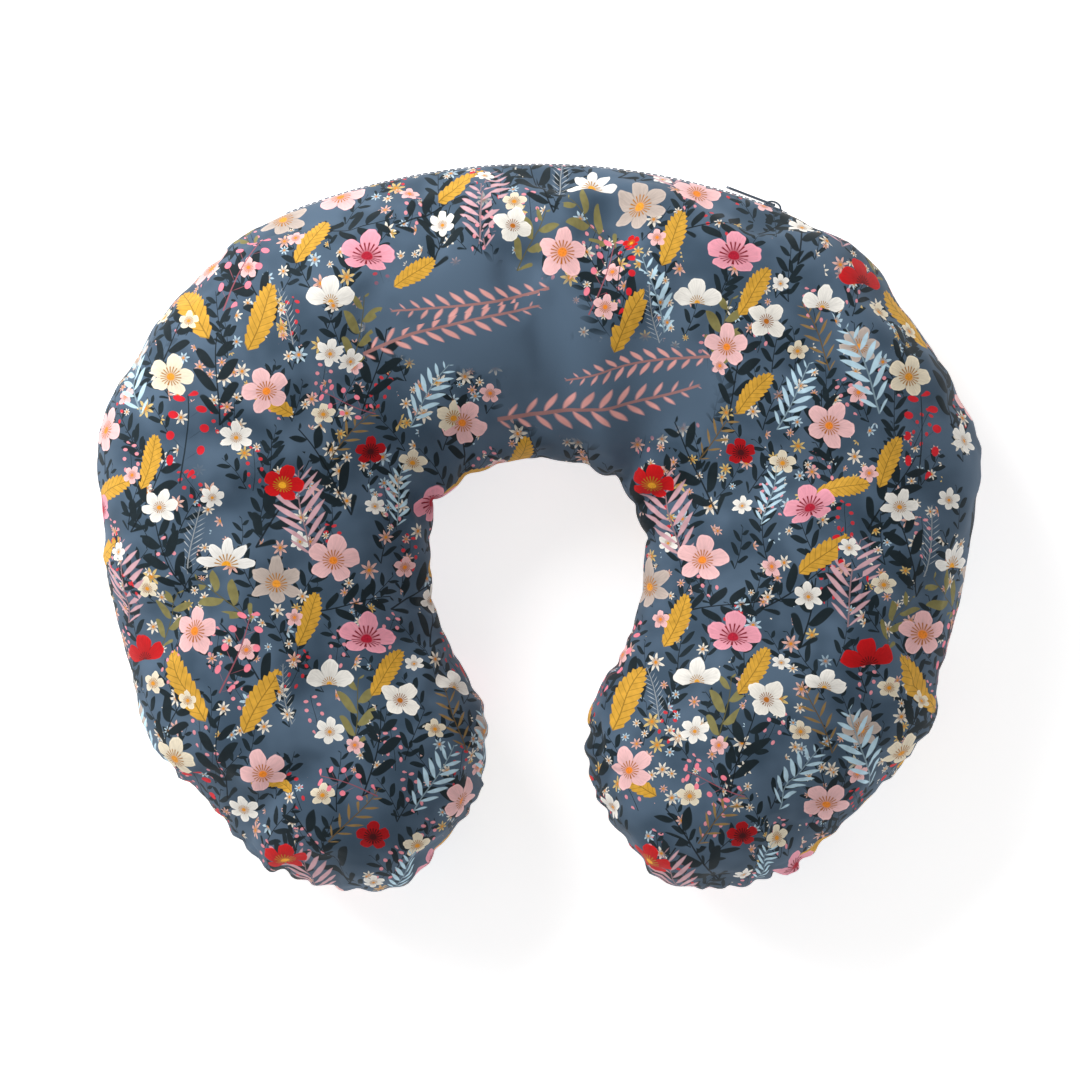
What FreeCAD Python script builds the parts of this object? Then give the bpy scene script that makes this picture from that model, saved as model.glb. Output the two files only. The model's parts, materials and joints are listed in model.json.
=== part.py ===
"""Nursing pillow: a horseshoe cushion in a removable zipped cover, in millimetres.

+Z is up and the pillow lies on the plane z = 0. The back of the horseshoe points to +Y, its mouth to -Y,
and the origin is under the middle of its box. The cover and the liner are each sewn from a top and a
bottom panel. A zip runs along the outer edge of the back. Each arm flexes outwards at its root.
"""
import FreeCAD, Part
import math
import os

Vector = FreeCAD.Vector

# ---- driving dimensions ------------------------------------------------------------------------------
PLAN_DEPTH = 428.0            # front to back
SEAM_Z = 56.0                 # height of the seam between top and bottom panels
TOP_RISE = 74.0               # crown of the top panel above the seam
BOTTOM_DROP = 66.0            # depth of the bottom panel if nothing flattened it
TIP_HALF_WIDTH = 85.0         # a section narrower than this also gets lower, which rounds the tips

BACK_RADIUS = 390.0           # the outer edge of the back is one round arc, which the zip follows
BACK_HALF_ANGLE = 22.5
HOLE_TOP_Y = 42.5             # the edge of the hole under the back
ROOT_Y = -19.5                # the arms flex on this line, at the widest place of the hole
ROOT_GAP = 0.4                # between a back solid and an arm solid

COVER = (0.0, 1.2)            # each layer's outer and inner distance from the cover's outside
TAPE = (1.5, 2.1)
ALLOWANCE = (1.3, 2.8)
CARE_LABEL = (3.3, 3.6)
LINER_LABEL = (5.0, 5.3)
LINER = (5.6, 6.4)
LINER_ALLOWANCE = (6.5, 7.7)
FILL = 8.0
ALLOWANCE_HEIGHT = 10.0

ZIP_HALF_ANGLE = 22.5         # the opening in the seam
TAPE_HALF_ANGLE = 23.6
STOP_ANGLE = 22.0
SLIDER_ANGLE = 20.9           # the slider's place when the zip is closed
TEETH_HALF_ANGLE = 21.2
ZIP_HALF_OPENING = 5.0
TAPE_TOP = 13.0
TAPE_EDGE = 3.1
TOOTH_PITCH = 2.0
TOOTH = (0.9, 2.4, 4.2)       # along the zip, through the tape, across the zip
TOOTH_DEPTH = 1.8             # middle of the teeth below the cover's outside

BACK_Y = PLAN_DEPTH / 2.0
ARC_CENTRE = Vector(0, BACK_Y - BACK_RADIUS, 0)
UP = Vector(0, 0, 1)
BEYOND = 400.0                # further from the origin than any point of the pillow


# ---- plan outline ------------------------------------------------------------------------------------
CORNER_RADIUS = 180.0         # then, clockwise: corner, side, forearm, tip
SIDE_RADIUS = 356.0
SIDE_START_ANGLE = 92.4
FOREARM_RADIUS = 228.0
TIP_RADIUS = 83.0
TIP_X = 111.0
HOLE_TOP_RADIUS = 113.0       # and up the hole: its side, its corner and its top
HOLE_TOP_ANGLE = 19.2
HOLE_CORNER_RADIUS = 42.0
HOLE_SIDE_RADIUS = 107.0


def toward(angle):
    """A unit vector, by its angle clockwise from +Y."""
    turn = math.radians(angle)
    return Vector(math.sin(turn), math.cos(turn), 0)


def touching(first, first_distance, second, second_distance):
    """The point left of the line between two centres that lies at a distance from each."""
    apart = second - first
    along = (first_distance ** 2 - second_distance ** 2 + apart.Length ** 2) / (2 * apart.Length)
    aside = math.sqrt(first_distance ** 2 - along ** 2)
    unit = apart / apart.Length
    return first + unit * along + Vector(-unit.y, unit.x, 0) * aside


def plan_circles():
    """Centres and signed radii of the tangent arcs of the right-hand half; the hole's arcs are negative."""
    corner = ARC_CENTRE + toward(BACK_HALF_ANGLE) * (BACK_RADIUS - CORNER_RADIUS)
    side = corner - toward(SIDE_START_ANGLE) * (SIDE_RADIUS - CORNER_RADIUS)
    tip = Vector(TIP_X, TIP_RADIUS - BACK_Y, 0)
    forearm = touching(side, SIDE_RADIUS - FOREARM_RADIUS, tip, FOREARM_RADIUS - TIP_RADIUS)
    hole_top = Vector(0, HOLE_TOP_Y - HOLE_TOP_RADIUS, 0)
    hole_corner = hole_top + toward(HOLE_TOP_ANGLE) * (HOLE_TOP_RADIUS - HOLE_CORNER_RADIUS)
    hole_side = touching(
        tip, HOLE_SIDE_RADIUS + TIP_RADIUS, hole_corner, HOLE_SIDE_RADIUS - HOLE_CORNER_RADIUS
    )
    return [
        (ARC_CENTRE, BACK_RADIUS),
        (corner, CORNER_RADIUS),
        (side, SIDE_RADIUS),
        (forearm, FOREARM_RADIUS),
        (tip, TIP_RADIUS),
        (hole_side, -HOLE_SIDE_RADIUS),
        (hole_corner, -HOLE_CORNER_RADIUS),
        (hole_top, -HOLE_TOP_RADIUS),
    ]


def outline(inset):
    """The closed wire of the seam seen from above, moved inwards from the cover's outside."""
    circles = [(centre, radius - inset) for centre, radius in plan_circles()]
    touches = [Vector(0, BACK_Y - inset, 0)]
    for (centre, radius), (other, other_radius) in zip(circles, circles[1:]):
        between = (other - centre) / (radius - other_radius)
        touches.append(centre + between * radius)
    touches.append(Vector(0, HOLE_TOP_Y + inset, 0))
    edges = []
    for (centre, radius), start, end in zip(circles, touches, touches[1:]):
        middle = (start + end) / 2 - centre
        middle = centre + middle / middle.Length * abs(radius)
        edges.append(Part.Arc(start, middle, end).toShape())
    edges += [edge.mirror(Vector(0, 0, 0), Vector(1, 0, 0)) for edge in edges]
    wire = Part.Wire(Part.__sortEdges__(edges))
    wire.translate(UP * SEAM_Z)
    return wire


# ---- soft shells -------------------------------------------------------------------------------------
def back_lines():
    """Section lines of the back, as a fan about the middle of the hole, from the right root to the left."""
    level = ROOT_Y + ROOT_GAP / 2
    fan_step = 12
    lines = [(Vector(0, level, SEAM_Z), Vector(BEYOND, level, SEAM_Z))]
    for angle in range(fan_step, 180, fan_step):
        turn = math.radians(angle)
        out = Vector(math.cos(turn), math.sin(turn), 0) * BEYOND
        lines.append((Vector(0, ROOT_Y, SEAM_Z), Vector(0, ROOT_Y, SEAM_Z) + out))
    lines.append((Vector(0, level, SEAM_Z), Vector(-BEYOND, level, SEAM_Z)))
    return lines


def arm_lines(inset):
    """Section lines across the right arm, from its root to just short of its tip."""
    tip = -BACK_Y + inset
    root = ROOT_Y - ROOT_GAP / 2
    shares = [0.0, 0.15, 0.32, 0.49, 0.65, 0.78, 0.87, 0.93, 0.97, 0.997]
    levels = [root + (tip - root) * share for share in shares]
    return [(Vector(0, y, SEAM_Z), Vector(BEYOND, y, SEAM_Z)) for y in levels]


def half_section(plan, line, inset, rise):
    """Half an ellipse over (rise > 0) or under the chord that the plan cuts from a line, closed by it."""
    chord = plan.common(Part.makeLine(*line)).Edges[0]
    near, far = sorted([v.Point for v in chord.Vertexes], key=lambda p: p.distanceToPoint(line[0]))
    middle = (near + far) / 2
    half_width = chord.Length / 2
    height = (abs(rise) - inset) * min(1.0, half_width / (TIP_HALF_WIDTH - inset))
    crown = middle + UP * math.copysign(height, rise)
    arc = Part.Ellipse(far, crown, middle).toShape(0, math.pi)
    return Part.Wire([arc, Part.makeLine(near, far)])


def half_body(part, inset, rise):
    """The solid inside one panel at a distance from the cover's outside, of the back or of the right arm."""
    plan = Part.Face(outline(inset))
    lines = back_lines() if part == "back" else arm_lines(inset)
    body = Part.makeLoft([half_section(plan, line, inset, rise) for line in lines], True)
    if rise < 0:
        body = body.common(block(inset, SEAM_Z))
    return body


def shell(part, layer, rise):
    """One layer of cloth, between two distances from the cover's outside."""
    outer, inner = layer
    return half_body(part, outer, rise).cut(half_body(part, inner, rise))


def block(low, high):
    """Everything between two heights above the ground."""
    return Part.makeBox(2 * BEYOND, 2 * BEYOND, high - low, Vector(-BEYOND, -BEYOND, low))


def zip_sector(depth, low, high, first, last):
    """A curved block along the back edge: depth inwards, heights from the seam, angles from the middle."""
    reach = 12.0
    corner = Vector(BACK_RADIUS - depth, 0, SEAM_Z + low) + ARC_CENTRE
    face = Part.makePlane(depth + reach, high - low, corner, Vector(0, -1, 0), Vector(1, 0, 0))
    face.rotate(ARC_CENTRE, UP, 90 + first)
    return face.revolve(ARC_CENTRE, UP, last - first)


def mirrored(shape):
    return shape.mirror(Vector(0, 0, 0), Vector(1, 0, 0))


def soft_nodes():
    """Cover, seam allowances, liner and filling, for the back and both arms."""
    band = block(SEAM_Z - ALLOWANCE_HEIGHT / 2, SEAM_Z + ALLOWANCE_HEIGHT / 2)
    made = {}
    for part in ("back", "right_arm"):
        made["cover_top_" + part] = shell(part, COVER, TOP_RISE)
        made["cover_bottom_" + part] = shell(part, COVER, -BOTTOM_DROP)
        made["cover_allowance_" + part] = both_halves(part, ALLOWANCE).common(band)
        made["liner_top_" + part] = shell(part, LINER, TOP_RISE)
        made["liner_bottom_" + part] = shell(part, LINER, -BOTTOM_DROP)
        made["liner_allowance_" + part] = both_halves(part, LINER_ALLOWANCE).common(band)
        made["fibre_fill_" + part] = half_body(part, FILL, TOP_RISE).fuse(half_body(part, FILL, -BOTTOM_DROP))
    for name in [n for n in made if n.endswith("right_arm")]:
        made[name.replace("right_arm", "left_arm")] = mirrored(made[name])

    depth = 5.0
    opening = zip_sector(depth, -ZIP_HALF_OPENING, ZIP_HALF_OPENING, -ZIP_HALF_ANGLE, ZIP_HALF_ANGLE)
    for name in ("cover_top_back", "cover_bottom_back"):
        made[name] = made[name].cut(opening)
    room_top, room_angle = TAPE_TOP + 1.0, TAPE_HALF_ANGLE + 0.2
    tape_room = zip_sector(depth, -room_top, room_top, -room_angle, room_angle)
    made["cover_allowance_back"] = made["cover_allowance_back"].cut(tape_room)
    return made


def both_halves(part, layer):
    return shell(part, layer, TOP_RISE).fuse(shell(part, layer, -BOTTOM_DROP)).removeSplitter()


def label_nodes():
    """Two blank labels that lie flat between the cover and the liner."""
    care = shell("back", CARE_LABEL, -BOTTOM_DROP)
    care = care.common(zip_sector(8, -40, -ZIP_HALF_OPENING, -10, -5.5))
    law = shell("back", LINER_LABEL, -BOTTOM_DROP)
    law = law.common(zip_sector(9, -44, -4, 5, 13))
    return {"care_label": care, "liner_label": law}


# ---- zip ---------------------------------------------------------------------------------------------
def along_zip(shape, angle):
    """Moves a shape that was made at the middle of the back edge along the zip; positive goes to -X."""
    moved = shape.copy()
    moved.rotate(ARC_CENTRE, UP, angle)
    return moved


def zip_box(size, centre):
    """A box at the middle of the back edge: along the zip, outwards from the cover, up from the seam."""
    corner = Vector(*centre) - Vector(*size) / 2 + Vector(0, BACK_Y, SEAM_Z)
    return Part.makeBox(*size, corner)


def row_angles(pitch, half_angle, shift=0.0):
    """Evenly spaced angles along the zip."""
    step = math.degrees(pitch / BACK_RADIUS)
    count = int(2 * half_angle / step)
    return [(i - (count - 1) / 2 + shift) * step for i in range(count)]


def tooth_row(side):
    """One row of teeth, side +1 on the upper tape and -1 on the lower one, half a pitch apart."""
    reach = 3.0
    middle = side * (reach - TOOTH[2] / 2)
    tooth = zip_box(TOOTH, (0, -TOOTH_DEPTH, middle))
    chamfer = 0.35
    tooth = tooth.makeChamfer(chamfer, [e for e in tooth.Edges if runs_across(e)])
    angles = row_angles(TOOTH_PITCH, TEETH_HALF_ANGLE, side * 0.25)
    return Part.makeCompound([along_zip(tooth, angle) for angle in angles])


def runs_across(edge):
    """True for the edges of a tooth that run across the zip."""
    span = edge.BoundBox
    return span.ZLength > span.XLength and span.ZLength > span.YLength


def stitch_row(depth, height, pitch, length, radius, half_angle):
    """A row of stitches as short round bars."""
    start = Vector(-length / 2, BACK_Y - depth, SEAM_Z + height)
    stitch = Part.makeCylinder(radius, length, start, Vector(1, 0, 0))
    return [along_zip(stitch, a) for a in row_angles(pitch, half_angle)]


def zip_tapes():
    made = {}
    for name, rise, side in (("zipper_tape_upper", TOP_RISE, 1), ("zipper_tape_lower", -BOTTOM_DROP, -1)):
        low, high = sorted((side * TAPE_EDGE, side * TAPE_TOP))
        sector = zip_sector(6, low, high, -TAPE_HALF_ANGLE, TAPE_HALF_ANGLE)
        made[name] = shell("back", TAPE, rise).common(sector)
    return made


def zip_stops():
    """Two small crimps at the closed end and one wide box at the open end."""
    crimp = (2.0, 2.6, 2.4)
    top = [along_zip(zip_box(crimp, (0, -TOOTH_DEPTH, z)), -STOP_ANGLE) for z in (1.5, -1.5)]
    box = zip_box((3.0, 2.8, 5.8), (0, -TOOTH_DEPTH, 0))
    return {
        "zipper_top_stops": Part.makeCompound(top),
        "zipper_bottom_stop": along_zip(box, STOP_ANGLE),
    }


def topstitching():
    """The two lines of thread that hold the tapes, 7.5 mm each side of the teeth."""
    height, pitch, length, radius = 7.5, 4.0, 2.8, 0.3
    rows = []
    for rise, side in ((TOP_RISE, 1), (BOTTOM_DROP, -1)):
        half_width = (BACK_Y - HOLE_TOP_Y) / 2
        curve_in = half_width * (1 - math.sqrt(1 - (height / rise) ** 2))
        rows += stitch_row(curve_in - radius - 0.1, side * height, pitch, length, radius, ZIP_HALF_ANGLE)
    return Part.makeCompound(rows)


def slider_plate(outer):
    """One plate of the slider with the two lips that turn towards the tape, wider at its front (+X) end."""
    inner_face, thick = (-0.3, 1.2) if outer else (-4.5, 1.2)
    front, rear, half_length = 4.6, 3.9, 6.0
    corners = [(-half_length, -rear), (half_length, -front), (half_length, front), (-half_length, rear)]
    points = [Vector(x, BACK_Y + inner_face, SEAM_Z + z) for x, z in corners + corners[:1]]
    plate = Part.Face(Part.makePolygon(points)).extrude(Vector(0, thick, 0))
    upright = [e for e in plate.Edges if e.BoundBox.YLength > thick / 2 and e.BoundBox.XLength < 0.1]
    plate = plate.makeFillet(1.6, upright)
    lip_start = -1.2 if outer else -3.35
    lips = [zip_box((6.0, 0.95, 0.7), (-1.5, lip_start + 0.475, side * 3.75)) for side in (1, -1)]
    return plate.fuse(lips)


def slider():
    """The slider: outer and inner plate, the neck that parts the teeth, and the bridge for the pull."""
    neck = zip_box((2.4, 3.3, 1.8), (4.3, -1.8, 0))
    bridge_centre = Vector(0, BACK_Y + 0.8, SEAM_Z)
    bridge_width = 1.8
    arch = [half_disc(bridge_centre, length, height) for length, height in ((5.0, 3.5), (3.9, 2.5))]
    bridge = arch[0].cut(arch[1]).extrude(Vector(0, 0, bridge_width))
    bridge.translate(Vector(0, 0, -bridge_width / 2))
    return slider_plate(True).fuse([slider_plate(False), neck, bridge]).removeSplitter()


def half_disc(centre, half_length, height):
    """Half an ellipse standing out from the slider's face."""
    ellipse = Part.Ellipse(centre + Vector(half_length, 0, 0), centre + Vector(0, height, 0), centre)
    arc = ellipse.toShape(0, math.pi)
    return Part.Face(Part.Wire([arc, Part.makeLine(arc.Vertexes[-1].Point, arc.Vertexes[0].Point)]))


PULL_DEPTH = 1.95             # the pull's pivot, outwards from the cover
PULL_BAR_RADIUS = 0.8


def pull_tab():
    """The pull: a round bar under the bridge, a window for the bridge, and a leaf that points to -X."""
    thick, window_half, outer_half, window_end, leaf_end = 1.2, 1.5, 2.7, 7.6, 30.0
    bar = Part.makeCylinder(
        PULL_BAR_RADIUS, 2 * outer_half, Vector(0, BACK_Y + PULL_DEPTH, SEAM_Z - outer_half), UP
    )
    leaf = zip_box((leaf_end, thick, 2 * outer_half), (-leaf_end / 2, PULL_DEPTH, 0))
    ends = [e for e in leaf.Edges if e.BoundBox.YLength > thick / 2 and e.BoundBox.XMax < -leaf_end / 2]
    leaf = leaf.makeFillet(2.2, ends)
    window = zip_box((window_end, thick * 2, 2 * window_half), (-window_end / 2, PULL_DEPTH, 0))
    eye = Part.makeCylinder(
        1.3, thick * 2, Vector(-leaf_end + 4.2, BACK_Y + PULL_DEPTH - thick, SEAM_Z), Vector(0, 1, 0)
    )
    return leaf.cut(window).cut(eye).fuse(bar).removeSplitter()


def zip_nodes():
    made = zip_tapes()
    made["zipper_teeth_upper"] = tooth_row(1)
    made["zipper_teeth_lower"] = tooth_row(-1)
    made.update(zip_stops())
    made["zipper_topstitching"] = topstitching()
    made["zipper_slider"] = along_zip(slider(), -SLIDER_ANGLE)
    made["zipper_pull"] = along_zip(pull_tab(), -SLIDER_ANGLE)
    return made


def liner_closing():
    """The hand stitches that close the liner after it is filled."""
    depth, pitch, length, radius, half_angle = 5.3, 5.0, 3.2, 0.2, 4.0
    stitches = stitch_row(depth, 0, pitch, length, radius, half_angle)
    return {"liner_closing_stitches": Part.makeCompound(stitches)}


# ---- export ------------------------------------------------------------------------------------------
def main():
    os.makedirs("parts", exist_ok=True)
    nodes = {**soft_nodes(), **label_nodes(), **zip_nodes(), **liner_closing()}
    for name, shape in nodes.items():
        box = shape.BoundBox
        size = f"{box.XLength:.1f} x {box.YLength:.1f} x {box.ZLength:.1f}"
        volume = f"{shape.Volume / 1000:.1f} cm3"
        print(f"{name}: {len(shape.Solids)} solids, valid {shape.isValid()}, {size}, {volume}")
        shape.exportStep(f"parts/{name}.step")
    pivot = along_zip(Part.Vertex(0, BACK_Y + PULL_DEPTH, SEAM_Z), -SLIDER_ANGLE).Point
    print("pull pivot", [round(c, 3) for c in pivot], "arc centre", list(ARC_CENTRE))


if __name__ == "__main__":
    main()
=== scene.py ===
"""Nursing pillow: the looks. A horseshoe cushion in a floral jersey cover with a zip along its back edge.

The sewn shape is worked out on a grid over the horseshoe, puckered along its seam, and settled by a short
cloth simulation. The print is drawn by the cover's material from motifs that are placed face by face.
"""
import json
import math
import random
from functools import partialmethod

import bpy
import numpy as np
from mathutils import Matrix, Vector
from numpy.linalg import norm


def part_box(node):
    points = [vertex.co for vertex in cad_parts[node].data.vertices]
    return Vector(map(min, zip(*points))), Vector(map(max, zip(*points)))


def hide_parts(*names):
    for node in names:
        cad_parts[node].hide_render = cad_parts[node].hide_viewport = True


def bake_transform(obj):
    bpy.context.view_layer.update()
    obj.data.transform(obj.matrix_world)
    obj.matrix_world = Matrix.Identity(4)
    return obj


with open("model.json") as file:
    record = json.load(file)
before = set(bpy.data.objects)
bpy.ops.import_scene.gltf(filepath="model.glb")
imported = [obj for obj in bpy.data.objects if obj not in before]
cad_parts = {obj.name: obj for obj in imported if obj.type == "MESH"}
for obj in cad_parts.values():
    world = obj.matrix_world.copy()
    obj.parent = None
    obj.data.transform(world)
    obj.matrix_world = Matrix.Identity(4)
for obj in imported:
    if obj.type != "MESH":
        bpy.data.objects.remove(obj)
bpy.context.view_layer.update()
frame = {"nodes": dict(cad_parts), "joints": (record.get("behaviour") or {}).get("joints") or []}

MM = 0.001

# ---- driving sizes, from the frame ----
back_low, back_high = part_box("cover_top_back")
SEAM_Z = back_low.z
TOP_RISE = back_high.z - SEAM_Z
BOTTOM_DROP = 66 * MM
JOINTS = {joint["name"]: joint for joint in frame["joints"]}
ARC_CENTRE = Vector(JOINTS["zipper_slide"]["pos_m"][:2])
BACK_RADIUS = 390 * MM
BACK_Y = ARC_CENTRE.y + BACK_RADIUS

# the other tangent circles of the seam's outline, as in the CAD
BACK_HALF_ANGLE = 22.5
CORNER_RADIUS = 180 * MM
SIDE_RADIUS = 356 * MM
SIDE_START_ANGLE = 92.4
FOREARM_RADIUS = 228 * MM
TIP_RADIUS = 83 * MM
TIP_X = 111 * MM
HOLE_TOP_Y = 42.5 * MM
HOLE_TOP_RADIUS = 113 * MM
HOLE_TOP_ANGLE = 19.2
HOLE_CORNER_RADIUS = 42 * MM
HOLE_SIDE_RADIUS = 107 * MM

GRID_COLUMNS = 46             # across the band, from the outer seam to the inner one
GRID_STEP = 5.2 * MM          # along the band
MIDDLE_SHARE = 0.66           # the length of the band's middle, as a share of its outer seam's
TIP_SHARE = 0.81              # of the band's length, from where the rows crowd towards the arm's end
TIP_ROWS = 25
NARROW_SHARE = 0.78           # from here on the band narrows steadily to the tip's radius
FULLNESS = 2.0                # exponent of the cross-section; 2 is an ellipse, as in the CAD
GROUND_EASE = 1.5 * MM        # how softly the flattened bottom bends up from the ground


# ---- the seam's outline and a grid over the right-hand half ----
def toward(angle):
    """A unit vector, by its angle clockwise from +Y."""
    return Vector((math.sin(math.radians(angle)), math.cos(math.radians(angle))))


def touching(first, first_distance, second, second_distance):
    """The point left of the line between two centres that lies at a distance from each."""
    apart = second - first
    along = (first_distance ** 2 - second_distance ** 2 + apart.length ** 2) / (2 * apart.length)
    aside = math.sqrt(first_distance ** 2 - along ** 2)
    unit = apart.normalized()
    return first + unit * along + Vector((-unit.y, unit.x)) * aside


def plan_circles():
    """Centres and signed radii of the tangent arcs of the right half, clockwise; the hole's are negative."""
    corner = ARC_CENTRE + toward(BACK_HALF_ANGLE) * (BACK_RADIUS - CORNER_RADIUS)
    side = corner - toward(SIDE_START_ANGLE) * (SIDE_RADIUS - CORNER_RADIUS)
    tip = Vector((TIP_X, TIP_RADIUS - BACK_Y))
    forearm = touching(side, SIDE_RADIUS - FOREARM_RADIUS, tip, FOREARM_RADIUS - TIP_RADIUS)
    hole_top = Vector((0, HOLE_TOP_Y - HOLE_TOP_RADIUS))
    hole_corner = hole_top + toward(HOLE_TOP_ANGLE) * (HOLE_TOP_RADIUS - HOLE_CORNER_RADIUS)
    hole_side = touching(
        tip, HOLE_SIDE_RADIUS + TIP_RADIUS, hole_corner, HOLE_SIDE_RADIUS - HOLE_CORNER_RADIUS
    )
    return [
        (ARC_CENTRE, BACK_RADIUS), (corner, CORNER_RADIUS), (side, SIDE_RADIUS), (forearm, FOREARM_RADIUS),
        (tip, TIP_RADIUS), (hole_side, -HOLE_SIDE_RADIUS), (hole_corner, -HOLE_CORNER_RADIUS),
        (hole_top, -HOLE_TOP_RADIUS),
    ]


def half_outline(step=1 * MM):
    """The right half of the seam as points, clockwise from the middle of the back to that of the hole."""
    circles = plan_circles()
    touches = [Vector((0, BACK_Y))]
    for (centre, radius), (other, other_radius) in zip(circles, circles[1:]):
        touches.append(centre + (other - centre) / (radius - other_radius) * radius)
    touches.append(Vector((0, HOLE_TOP_Y)))
    points = []
    for (centre, radius), start, end in zip(circles, touches, touches[1:]):
        first = math.atan2(*(start - centre).yx)
        sweep = (math.atan2(*(end - centre).yx) - first + math.pi) % (2 * math.pi) - math.pi
        turns = first + sweep * np.linspace(0, 1, 2 + int(abs(radius * sweep) / step))[:-1]
        ring = np.stack([np.cos(turns), np.sin(turns)], 1) * abs(radius)
        points.append(ring + np.array(centre))
    points.append(np.array([[0, HOLE_TOP_Y]]))
    return np.concatenate(points)


def lengths(points):
    return np.concatenate([[0], np.cumsum(norm(np.diff(points, axis=0), axis=1))])


def along(points, shares):
    """Points at shares of a polyline's length."""
    run = lengths(points)
    return np.stack([np.interp(np.asarray(shares) * run[-1], run, points[:, k]) for k in (0, 1)], 1)


SEAM = half_outline()
SEAM_RUN = lengths(SEAM)
TIP_CENTRE = np.array([TIP_X, TIP_RADIUS - BACK_Y])
LAST_ROW_FROM = 155           # the grid's last row follows the seam between these directions from that centre
LAST_ROW_TO = 255


def tip_index(angle):
    """Where the seam crosses a direction from the tip's centre."""
    target = TIP_CENTRE + np.array(toward(angle)) * TIP_RADIUS
    return int(np.argmin(norm(SEAM - target, axis=1)))


def row_shares(outer_length):
    """Shares of the band's length for the grid's rows: one at the zip's end, and closer towards the tip."""
    zip_share = math.radians(BACK_HALF_ANGLE) * BACK_RADIUS / outer_length
    middle = outer_length * MIDDLE_SHARE
    first = np.linspace(0, zip_share, 1 + round(zip_share * middle / GRID_STEP))
    second = np.linspace(zip_share, TIP_SHARE, 1 + round((TIP_SHARE - zip_share) * middle / GRID_STEP))
    third = TIP_SHARE + (1 - TIP_SHARE) * np.sin(np.linspace(0, math.pi / 2, TIP_ROWS))
    return np.concatenate([first, second[1:], third[1:]]), len(first) - 1


def plan_grid():
    """The grid's plan points for the right half: rows along the band, columns from the outer seam inwards."""
    outer_end, inner_start = tip_index(LAST_ROW_FROM), tip_index(LAST_ROW_TO)
    outer, end, inner = SEAM[:outer_end + 1], SEAM[outer_end:inner_start + 1], SEAM[inner_start:][::-1]
    rows, zip_row = row_shares(lengths(outer)[-1])
    columns = (1 - np.cos(np.linspace(0, math.pi, GRID_COLUMNS + 1))) / 2
    u, v = rows[:, None, None], columns[None, :, None]
    out, inn, close = along(outer, rows)[:, None], along(inner, rows)[:, None], along(end, columns)[None]
    start = np.array([0, BACK_Y]) * (1 - v) + np.array([0, HOLE_TOP_Y]) * v
    corners = (
        (1 - u) * (1 - v) * outer[0] + (1 - u) * v * inner[0] + u * (1 - v) * outer[-1] + u * v * inner[-1]
    )
    return (1 - v) * out + v * inn + (1 - u) * start + u * close - corners, rows, zip_row


def seam_distance(points):
    """Each point's distance from the seam, and how far along the seam its nearest place is."""
    flat = points.reshape(-1, 2)
    distance, run = np.empty(len(flat)), np.empty(len(flat))
    batch = 4000
    for low in range(0, len(flat), batch):
        part = flat[low:low + batch]
        gaps = norm(part[:, None] - SEAM[None], axis=2)
        nearest = gaps.argmin(1)
        best, place = gaps.min(1), SEAM_RUN[nearest]
        for other in (np.maximum(nearest - 1, 0), np.minimum(nearest + 1, len(SEAM) - 1)):
            edge = SEAM[other] - SEAM[nearest]
            size = np.maximum((edge ** 2).sum(1), 1e-18)
            share = np.clip(((part - SEAM[nearest]) * edge).sum(1) / size, 0, 1)
            gap = norm(part - SEAM[nearest] - edge * share[:, None], axis=1)
            closer = gap < best
            best = np.where(closer, gap, best)
            place = np.where(closer, SEAM_RUN[nearest] + share * (SEAM_RUN[other] - SEAM_RUN[nearest]), place)
        distance[low:low + batch], run[low:low + batch] = best, place
    return distance.reshape(points.shape[:-1]), run.reshape(points.shape[:-1])


def smooth_rows(values, passes=12):
    for _ in range(passes):
        values = np.concatenate([values[:1], (values[:-2] + 2 * values[1:-1] + values[2:]) / 4, values[-1:]])
    return values


PLAN, ROWS, ZIP_ROW = plan_grid()
DISTANCE, RUN = seam_distance(PLAN)
DISTANCE[:, 0] = DISTANCE[:, -1] = DISTANCE[-1] = 0
HALF_BAND = np.maximum(smooth_rows(DISTANCE.max(1)), TIP_RADIUS)
narrow = ROWS > NARROW_SHARE
narrowing = np.linspace(HALF_BAND[narrow][0], TIP_RADIUS, narrow.sum())
HALF_BAND[narrow] = np.minimum(HALF_BAND[narrow], narrowing)
LAST_ROW = len(ROWS) - 1


def crown():
    """How full the section is over each grid point, from 0 on the seam to 1 on the crest."""
    inward = 1 - np.clip(DISTANCE / HALF_BAND[:, None], 0, 1)
    return (1 - inward ** FULLNESS) ** (1 / FULLNESS)


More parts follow.
